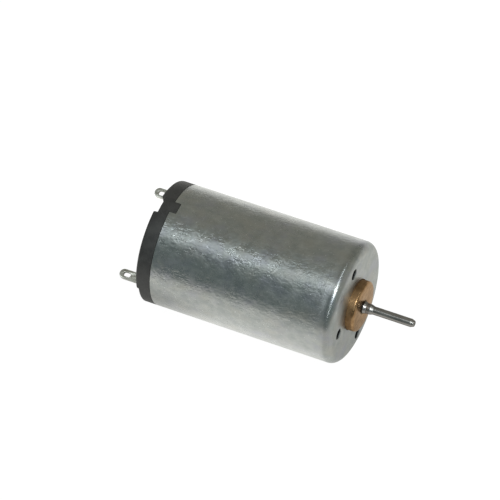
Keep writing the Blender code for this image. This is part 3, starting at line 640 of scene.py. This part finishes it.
def tinned_brass():
    """Tin-dipped brass: run marks, small frosted spots, and painted shade round the eyes."""
    look = Look("tinned_brass", metallic=1)
    runs = look.noise((0.8, 2.4, 2.4), detail=3, roughness=0.55, seed=10)
    frost = look.noise((11, 11, 11), detail=2, roughness=0.6, seed=11)
    colour = look.blend(look.spread(runs, 0.3, 0.7), TIN_DARK, TIN_LIGHT)
    for angle in TERMINAL_ANGLES:
        middle = (TAB_TIP_X + EYE_FROM_TIP, *at_angle(TERMINAL_AT, angle)[1:])
        # Painted shade on the metal round each eye
        eye_shade = look.around(middle, EYE_OVAL, 1.35 * EYE_HALF_WIDTH, 1.12 * EYE_HALF_WIDTH)
        colour = look.blend(eye_shade, colour, TIN_EYE_SHADE)
    roughness = look.spread(look.mixed((runs, 0.5), (frost, 0.5)), 0.3, 0.7, 0.20, 0.34)
    return look.done(colour, roughness, look.mixed((runs, 0.8), (frost, 0.3)), 0.008 * MM)


def drawn_metal(name, dark, light, scale, low, high):
    """Rolled or turned metal with lines along the axes whose scale is small."""
    look = Look(name, metallic=1)
    lines = look.noise(scale, detail=2, roughness=0.6, seed=12)
    clouds = look.noise((0.8, 0.8, 0.8), detail=3, roughness=0.6, seed=13)
    colour = look.blend(look.spread(look.mixed((lines, 0.4), (clouds, 0.6)), 0.35, 0.65), dark, light)
    roughness = look.spread(look.mixed((lines, 0.6), (clouds, 0.4)), 0.3, 0.7, low, high)
    return look.done(colour, roughness, lines, 0.003 * MM)


def powder_solid(name, dark, light, grain, low, high):
    """Pressed and fired powder, such as ferrite, carbon or ceramic, with grain and small pits."""
    look = Look(name, metallic=0)
    grains = look.noise((grain, grain, grain), detail=3, roughness=0.65, seed=14)
    pits = look.spread(look.cells((2.4, 2.4, 2.4)), 0.16, 0.06)
    colour = look.blend(look.spread(grains, 0.35, 0.65), dark, light)
    colour = look.blend(look.calculate("MULTIPLY", pits, 0.5), colour, [value * 0.4 for value in dark])
    roughness = look.spread(grains, 0.3, 0.7, low, high)
    return look.done(colour, roughness, look.mixed((grains, 0.6), (pits, -0.5)), 0.015 * MM)


def enamelled_wire():
    """Copper wire under clear enamel, lighter and darker from turn to turn."""
    look = Look("enamelled_wire", metallic=1)
    turns = look.noise((4.5, 4.5, 4.5), detail=2, roughness=0.5, seed=15)
    clouds = look.noise((0.9, 0.9, 0.9), detail=2, roughness=0.5, seed=16)
    shade = look.spread(look.mixed((turns, 0.5), (clouds, 0.5)), 0.35, 0.65)
    colour = look.blend(shade, WIRE_DARK, WIRE_LIGHT)
    look.coat(0.6, roughness=0.12, ior=1.5)
    return look.done(colour, look.spread(turns, 0.3, 0.7, 0.24, 0.36), turns, 0.002 * MM)


def inside_materials():
    """Materials of the pieces inside the can, by the names of their slots."""
    return {
        "spring_steel": drawn_metal(
            "spring_steel_strip", (0.30, 0.31, 0.34), (0.46, 0.47, 0.50), (0.6, 9, 9), 0.24, 0.38
        ),
        "electrical_steel": drawn_metal(
            "core_steel", (0.20, 0.21, 0.24), (0.36, 0.37, 0.40), (3, 5, 5), 0.36, 0.52
        ),
        "brass": drawn_metal(
            "turned_brass", (0.60, 0.43, 0.17), (0.78, 0.60, 0.29), (16, 1, 1), 0.22, 0.34
        ),
        "spring_bronze": drawn_metal(
            "brush_spring", (0.52, 0.29, 0.12), (0.72, 0.46, 0.24), (9, 1, 9), 0.22, 0.36
        ),
        "copper": drawn_metal(
            "commutator_copper", (0.55, 0.22, 0.12), (0.78, 0.40, 0.25), (14, 1, 1), 0.20, 0.34
        ),
        "enamelled_copper": enamelled_wire(),
        "ferrite": powder_solid(
            "magnet_ferrite", (0.045, 0.045, 0.050), (0.085, 0.085, 0.090), 6, 0.50, 0.68
        ),
        "ceramic": powder_solid(
            "varistor_ceramic", (0.09, 0.10, 0.12), (0.16, 0.17, 0.20), 10, 0.45, 0.60
        ),
        "carbon": powder_solid(
            "brush_carbon", (0.025, 0.025, 0.026), (0.060, 0.060, 0.062), 12, 0.38, 0.60
        ),
        "brown_plastic": moulded_plastic(
            "sleeve_phenolic", (0.11, 0.05, 0.025), (0.19, 0.095, 0.05), 0.40, 0.55
        ),
        "green_plastic": moulded_plastic(
            "insulator_green", (0.03, 0.17, 0.09), (0.06, 0.27, 0.15), 0.38, 0.52
        ),
        "nylon": moulded_plastic(
            "washer_nylon", (0.66, 0.65, 0.60), (0.80, 0.79, 0.75), 0.42, 0.55
        ),
    }


# ---------------------------------------------------------------- pieces

def hole_drill():
    """The shape that pierces a face hole and rounds its lip."""
    back = FACE_X - 2 * CAN_WALL
    front = FACE_X + HOLE_LIP
    lip = arc(HOLE_LIP, 0, HOLE_LIP_TURN, LIP_STEPS)
    outline = [(back, 0), (back, HOLE_RADIUS)]
    outline += [(FACE_X - HOLE_LIP + y, HOLE_RADIUS + HOLE_LIP - x) for x, y in lip]
    outline += [(front, HOLE_RADIUS + HOLE_LIP), (front, 0)]
    return turned("hole", outline, HOLE_TURN, closed=False)


def on_key_slot(point):
    """Whether a point of the can lies on the key slot's edges, clear of the rim."""
    beside = abs(point.y) < KEY_WIDTH / 2 + CAN_EDGE and point.x < RIM_X + KEY_DEPTH + CAN_EDGE
    return beside and point.z > 0 and point.x > RIM_X + CAN_EDGE


def build_can(material):
    """Drawn cup with a rounded front corner, pierced face holes with soft lips, and the key slot."""
    centre_hole = BOSS_RADIUS + SEAT_GAP
    back_of_wall = FACE_X - CAN_WALL
    outline = rounded([
        (FACE_X, centre_hole, CAN_EDGE),
        (FACE_X, CAN_RADIUS, CAN_CORNER),
        (RIM_X, CAN_RADIUS, CAN_EDGE),
        (RIM_X, CAN_INSIDE, CAN_EDGE),
        (back_of_wall, CAN_INSIDE, CAN_CORNER - CAN_WALL),
        (back_of_wall, centre_hole, CAN_EDGE),
    ], FINE_STEPS)
    can = new_object("can_shell", turned("can_shell", outline, WIDE_TURN))
    for distance, angle in FACE_HOLES:
        combine(can, hole_drill(), "DIFFERENCE", at_angle(distance, angle))
    slot = block("slot", (2 * KEY_DEPTH, KEY_WIDTH, 3 * CAN_WALL), SLOT_CORNER)
    combine(can, slot, "DIFFERENCE", (RIM_X, 0, CAN_RADIUS - CAN_WALL / 2))
    soften(can, SLOT_EDGE, wanted=on_key_slot)
    finish_piece(can, material, "stator", "can")


def build_front_bush(material):
    """The bronze bush with its round boss, flange and neck."""
    flange_front = FACE_X - CAN_WALL - SEAT_GAP
    outline = rounded([
        (BOSS_X - MOUTH_DEPTH, BUSH_BORE, 0),
        (BOSS_X, MOUTH_RADIUS, MOUTH_EDGE),
        (BOSS_X, BOSS_RADIUS, BOSS_CHAMFER),
        (flange_front, BOSS_RADIUS, 0),
        (flange_front, FLANGE_RADIUS, 0),
        (FLANGE_BACK, FLANGE_RADIUS, BUSH_EDGE),
        (FLANGE_BACK, NECK_RADIUS, BUSH_EDGE),
        (FRONT_BUSH_LOW.x, NECK_RADIUS, BUSH_EDGE),
        (FRONT_BUSH_LOW.x, BUSH_BORE, BORE_EDGE),
    ])
    bush = new_object("front_bush", turned("front_bush", outline, WIDE_TURN))
    finish_piece(bush, material, "stator", "front_bearing")


def build_rear_bush(material):
    """The plain bronze bush in the cap's hub."""
    outline = rounded([
        (REAR_BUSH_LOW.x, BUSH_BORE, REAR_BUSH_EDGE),
        (REAR_BUSH_HIGH.x, BUSH_BORE, REAR_BUSH_EDGE),
        (REAR_BUSH_HIGH.x, REAR_BUSH_HIGH.y, REAR_BUSH_EDGE),
        (REAR_BUSH_LOW.x, REAR_BUSH_HIGH.y, REAR_BUSH_EDGE),
    ])
    bush = new_object("rear_bush", turned("rear_bush", outline, SMALL_TURN))
    finish_piece(bush, material, "stator", "rear_bearing")


def build_shaft(material):
    """The ground shaft: full size up to the shoulder, with an oil collar, then the thinner output part."""
    outline = rounded([
        (SHAFT_LOW.x, 0, 0),
        (SHAFT_LOW.x, SHAFT_RADIUS, SHAFT_CHAMFER),
        (COLLAR_BACK, SHAFT_RADIUS, 0),
        (COLLAR_BACK, COLLAR_RADIUS, COLLAR_EDGE),
        (COLLAR_FRONT, SHAFT_RADIUS, COLLAR_BLEND),
        (SHOULDER_BACK, SHAFT_RADIUS, SHOULDER_BLEND),
        (SHOULDER_FRONT, OUTPUT_RADIUS, SHOULDER_BLEND),
        (SHAFT_HIGH.x - TIP_TAPER, OUTPUT_RADIUS, TIP_BLEND),
        (SHAFT_HIGH.x, TIP_RADIUS, TIP_BLEND),
        (SHAFT_HIGH.x, 0, 0),
    ], FINE_STEPS)
    shaft = new_object("output_shaft", turned("output_shaft", outline, SMALL_TURN, closed=False))
    finish_piece(shaft, material, "rotor", "shaft")


def cap_outline():
    """The cap's plug, flange, hub and floor."""
    flange_front = RIM_X - SEAT_GAP
    plug_front = MAGNET_LOW.x - PLUG_GAP
    plug_radius = CAN_INSIDE - SEAT_GAP
    pocket = REAR_BUSH_HIGH.y + SEAT_GAP
    lip_front = HUB_X + HUB_LIP
    return rounded([
        (plug_front, PLUG_INSIDE, CAP_CORNER),
        (plug_front, plug_radius, PLUG_EDGE),
        (flange_front, plug_radius, 0),
        (flange_front, CAN_RADIUS, FLANGE_EDGE),
        (CAP_BACK, CAN_RADIUS, CAP_RIM_EDGE),
        (CAP_BACK, HUB_RADIUS, HUB_FOOT),
        (HUB_X, HUB_RADIUS, HUB_EDGE),
        (HUB_X, HUB_MOUTH, HUB_FOOT),
        (lip_front, HUB_MOUTH, HUB_INSIDE_EDGE),
        (lip_front, pocket, 0),
        (HUB_FRONT, pocket, HUB_INSIDE_EDGE),
        (HUB_FRONT, HUB_RADIUS, HUB_INSIDE_EDGE),
        (CAP_FLOOR, HUB_RADIUS, CAP_CORNER),
        (CAP_FLOOR, PLUG_INSIDE, CAP_CORNER),
    ])


def cap_key():
    """The block of a can-sized disc that fills the rim slot, less the seat gap."""
    front = RIM_X + KEY_DEPTH - 2 * SEAT_GAP
    back = RIM_X - 2 * SEAT_GAP
    disc = [(back, 0), (back, CAN_RADIUS), (front, CAN_RADIUS), (front, 0)]
    key = new_object("key", turned("key", disc, WIDE_TURN, closed=False))
    inner = PLUG_INSIDE + SEAT_GAP
    limits = block("limits", (4 * KEY_DEPTH, KEY_WIDTH - 2 * SEAT_GAP, 2 * (CAN_RADIUS - inner)), 0)
    combine(key, limits, "INTERSECT", (RIM_X, 0, CAN_RADIUS))
    mesh = key.data
    bpy.data.objects.remove(key, do_unlink=True)
    return mesh


def cut_terminal_seat(cap, angle):
    """Cut one terminal's shallow well in the cap's back, and the slot that holds its strip."""
    turn = angle - pi / 2
    well = block("well", (2 * WELL_DEPTH, WELL_WIDTH, 2 * WELL_LENGTH), CAP_CORNER)
    middle = at_angle(CAN_RADIUS, angle)
    combine(cap, well, "DIFFERENCE", (CAP_BACK, *middle[1:]), turn)
    slot_size = (8 * WELL_DEPTH, STRIP_THICKNESS + 2 * SEAT_GAP, STRIP_WIDTH + 2 * SEAT_GAP)
    slot = block("slot", slot_size, 0)
    middle = at_angle(TERMINAL_AT, angle)
    combine(cap, slot, "DIFFERENCE", ((CAP_FLOOR + CAP_BACK) / 2, *middle[1:]), turn)


def cut_pin_marks(cap):
    """Press the shallow round marks of the ejector pins into the cap's back."""
    bottom = CAP_BACK + MARK_DEPTH
    outside = CAP_BACK - 0.2 * MM
    mark = rounded([
        (bottom, 0, 0),
        (bottom, MARK_RADIUS, MARK_CORNER),
        (outside, MARK_RADIUS + MARK_DRAFT, 0),
        (outside, 0, 0),
    ])
    for angle in MARK_ANGLES:
        pin = turned("pin", mark, HOLE_TURN, closed=False)
        combine(cap, pin, "DIFFERENCE", at_angle(MARK_AT, angle))


def build_cap(material):
    """Moulded end cap with its key, rear notch, terminal seats and ejector-pin marks."""
    cap = new_object("moulded_cap", turned("moulded_cap", cap_outline(), WIDE_TURN))
    combine(cap, cap_key(), "UNION")
    notch = block("notch", (2 * NOTCH_DEPTH, NOTCH_WIDTH, 2 * NOTCH_LENGTH), CAP_CORNER)
    combine(cap, notch, "DIFFERENCE", (CAP_BACK, 0, CAN_RADIUS))
    for angle in TERMINAL_ANGLES:
        cut_terminal_seat(cap, angle)
    cut_pin_marks(cap)
    soften(cap, CAP_SOFTENING, segments=2)
    finish_piece(cap, material, "stator", "end_cap")


def tab_with_eye(name):
    """The rounded solder tab with its slot eye, lying flat."""
    half = TAB_WIDTH / 2
    front = STRIP_BACK + half / 2
    outline = [(front, half), (front, -half)]
    outline += arc(half, -pi / 2, -3 * pi / 2, TAB_END_STEPS, (TAB_TIP_X + half, 0))
    eye_middle = TAB_TIP_X + EYE_FROM_TIP
    shift = EYE_LENGTH / 2 - EYE_HALF_WIDTH
    eye = arc(EYE_HALF_WIDTH, -pi / 2, pi / 2, EYE_END_STEPS, (eye_middle + shift, 0))
    eye += arc(EYE_HALF_WIDTH, pi / 2, 3 * pi / 2, EYE_END_STEPS, (eye_middle - shift, 0))
    return new_object(name, plate(name, outline, TAB_THICKNESS, [eye]))


def build_terminal(name, node, angle, material):
    """Strip locked in the cap, and the solder tab behind it, stood up at an angle about the axis."""
    tab = tab_with_eye(name)
    strip = plate("strip", [
        (TAB_HIGH.x, STRIP_WIDTH / 2),
        (STRIP_BACK, STRIP_WIDTH / 2),
        (STRIP_BACK, -STRIP_WIDTH / 2),
        (TAB_HIGH.x, -STRIP_WIDTH / 2),
    ], STRIP_THICKNESS)
    combine(tab, strip, "UNION")
    soften(tab, TAB_EDGE)
    for vertex in tab.data.vertices:
        x, across, normal = vertex.co
        radial = TERMINAL_AT + across
        vertex.co = (
            x,
            radial * cos(angle) - normal * sin(angle),
            radial * sin(angle) + normal * cos(angle),
        )
    finish_piece(tab, material, "stator", node)


def dress_frame_nodes(materials):
    """Give the frame's own nodes, which stay as they are, the detailed material for their slot."""
    for name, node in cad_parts.items():
        if node.hide_render:
            continue
        old = node.data.materials[0].name.split(".")[0]
        node.data.materials.clear()
        node.data.materials.append(materials[old])


# ---------------------------------------------------------------- stage, lights and camera

def floor_glow(look):
    """What the metal sees of the floor: a painted pool of light that dims far off, painted light beside the
    motor, and painted shadows under, behind and before it.
    """
    far_off = look.around((0, 0, 0), BALL, FLOOR_NEAR, FLOOR_FAR, *FLOOR_GLOW)
    # Painted light beside the motor, and a painted shadow under it
    beside = look.around((0, 0, 0), LONG_OVAL, 9 * MM, 26 * MM, 0.10, 0)
    under = look.around((0, 0, 0), LONG_OVAL, 4.5 * MM, 8 * MM, 0.3, 0)
    glow = look.mixed((far_off, 1), (beside, 1), (under, -1))
    tail = (TAB_TIP_X - motor_middle.x, -9 * MM, 0)
    face = FACE_X - motor_middle.x
    # Painted shadows behind the terminals and before the face
    behind = look.around(tail, BALL, 2 * MM, 14 * MM, 0.5, 0)
    before = look.along(face - 5 * MM, face + 0.175 * MM, 0, 0.14)
    for darker in (behind, before):
        glow = look.calculate("MULTIPLY", glow, look.calculate("SUBTRACT", 1, darker))
    return glow


def pale_floor():
    """A glowing floor: even for the camera; for what the metal reflects it is uneven, with painted light
    and shadows, and a little warm.
    """
    look = Look("pale_floor", metallic=0)
    seen = look.add("ShaderNodeLightPath").outputs["Is Camera Ray"]
    glow = look.calculate("MAXIMUM", floor_glow(look), look.calculate("MULTIPLY", seen, FLOOR_SEEN))
    look.shader.inputs["Base Color"].default_value = (*FLOOR_GREY, 1)
    look.shader.inputs["Roughness"].default_value = 1
    look.shader.inputs["Specular IOR Level"].default_value = 0
    look.feed(look.shader.inputs["Emission Color"], look.blend(seen, FLOOR_TINT, (1, 1, 1)))
    look.feed(look.shader.inputs["Emission Strength"], glow)
    look.material.cycles.emission_sampling = "NONE"
    return look.material


def build_floor():
    """A plain pale floor that the can rests on."""
    shape = bmesh.new()
    bmesh.ops.create_grid(shape, x_segments=1, y_segments=1, size=FLOOR_REACH)
    mesh = bpy.data.meshes.new("floor")
    shape.to_mesh(mesh)
    shape.free()
    floor = new_object("floor", mesh)
    floor.location = (motor_middle.x, motor_middle.y, CAN_LOW.z)
    mesh.materials.append(pale_floor())


def ramp(tree, value, old_range, new_range=(0, 1)):
    """Map a value evenly from one range to another, without going past either end."""
    node = tree.nodes.new("ShaderNodeMapRange")
    node.inputs["From Min"].default_value = old_range[0]
    node.inputs["From Max"].default_value = old_range[1]
    node.inputs["To Min"].default_value = new_range[0]
    node.inputs["To Max"].default_value = new_range[1]
    tree.links.new(value, node.inputs["Value"])
    return node.outputs[0]


def build_world():
    """A dim room for reflections, cool on one side, warm on the other and brighter ahead of the shaft.

    The camera sees it as plain white.
    """
    world = bpy.data.worlds.new("studio")
    bpy.context.scene.world = world
    world.use_nodes = True
    tree = world.node_tree
    room = tree.nodes["Background"]
    parts = tree.nodes.new("ShaderNodeSeparateXYZ")
    tree.links.new(tree.nodes.new("ShaderNodeTexCoord").outputs["Generated"], parts.inputs[0])
    tint = tree.nodes.new("ShaderNodeMix")
    tint.data_type = "RGBA"
    tint.inputs["A"].default_value = (*ROOM_TINTS[0], 1)
    tint.inputs["B"].default_value = (*ROOM_TINTS[1], 1)
    tree.links.new(ramp(tree, parts.outputs["Y"], TINT_CHANGE), tint.inputs["Factor"])
    tinted = next(output for output in tint.outputs if output.type == "RGBA")
    tree.links.new(tinted, room.inputs["Color"])
    tree.links.new(ramp(tree, parts.outputs["X"], STRENGTH_CHANGE, ROOM_STRENGTHS), room.inputs["Strength"])
    white = tree.nodes.new("ShaderNodeBackground")
    white.inputs["Color"].default_value = (1, 1, 1, 1)
    white.inputs["Strength"].default_value = 1.0
    path = tree.nodes.new("ShaderNodeLightPath")
    pick = tree.nodes.new("ShaderNodeMixShader")
    tree.links.new(path.outputs["Is Camera Ray"], pick.inputs[0])
    tree.links.new(room.outputs[0], pick.inputs[1])
    tree.links.new(white.outputs[0], pick.inputs[2])
    tree.links.new(pick.outputs[0], tree.nodes["World Output"].inputs["Surface"])


def add_lamp(name, direction, size, radiance):
    """A soft area light that faces the motor: a disc if its two sizes are the same, else a strip."""
    data = bpy.data.lights.new(name, "AREA")
    data.color = LAMP_COLOUR
    disc = size[0] == size[1]
    data.shape = "DISK" if disc else "RECTANGLE"
    data.size = size[0]
    data.size_y = size[1]
    area = size[0] * size[1] * (pi / 4 if disc else 1)
    data.energy = radiance * area * pi
    lamp = bpy.data.objects.new(name, data)
    bpy.context.scene.collection.objects.link(lamp)
    towards = Vector(direction).normalized()
    up = towards.cross(Vector((1, 0, 0))).normalized()
    across = up.cross(towards)
    lamp.location = motor_middle + towards * LAMP_DISTANCE
    lamp.rotation_mode = "QUATERNION"
    lamp.rotation_quaternion = Matrix((across, up, towards)).transposed().to_quaternion()
    lamp.visible_camera = False


def build_lights():
    """Two strips overhead, one along the shaft and one across it, and a small key lamp near them."""
    add_lamp("strip", STRIP_DIRECTION, STRIP_SIZE, STRIP_RADIANCE)
    add_lamp("cross_strip", CROSS_DIRECTION, CROSS_SIZE, CROSS_RADIANCE)
    add_lamp("key", KEY_DIRECTION, KEY_SIZE, KEY_RADIANCE)


def build_camera():
    """A long-lens camera that looks down past the shaft's end, turned a little about its own axis."""
    level = cos(CAMERA_ELEVATION)
    back = Vector((sin(CAMERA_AZIMUTH) * level, -cos(CAMERA_AZIMUTH) * level, sin(CAMERA_ELEVATION)))
    data = bpy.data.cameras.new("camera")
    data.lens = CAMERA_LENS
    data.sensor_width = 36
    data.clip_start = 0.01
    data.clip_end = 20
    camera = bpy.data.objects.new("camera", data)
    bpy.context.scene.collection.objects.link(camera)
    camera.location = CAMERA_AIM + back * CAMERA_DISTANCE
    camera.rotation_mode = "QUATERNION"
    camera.rotation_quaternion = back.to_track_quat("Z", "Y") @ Quaternion((0, 0, 1), CAMERA_ROLL)
    bpy.context.scene.camera = camera


bronze = sintered_bronze()
build_can(galvanised_steel())
build_front_bush(bronze)
build_rear_bush(bronze)
build_shaft(ground_steel())
build_cap(moulded_plastic("black_plastic_moulded", BLACK_DARK, BLACK_LIGHT, 0.42, 0.60))
tin = tinned_brass()
for sign, angle in zip(("positive", "negative"), TERMINAL_ANGLES):
    build_terminal("solder_tab_" + sign, "terminal_" + sign, angle, tin)
dress_frame_nodes(inside_materials())

build_floor()
build_world()
build_lights()
build_camera()
bpy.context.scene.view_settings.view_transform = "Standard"
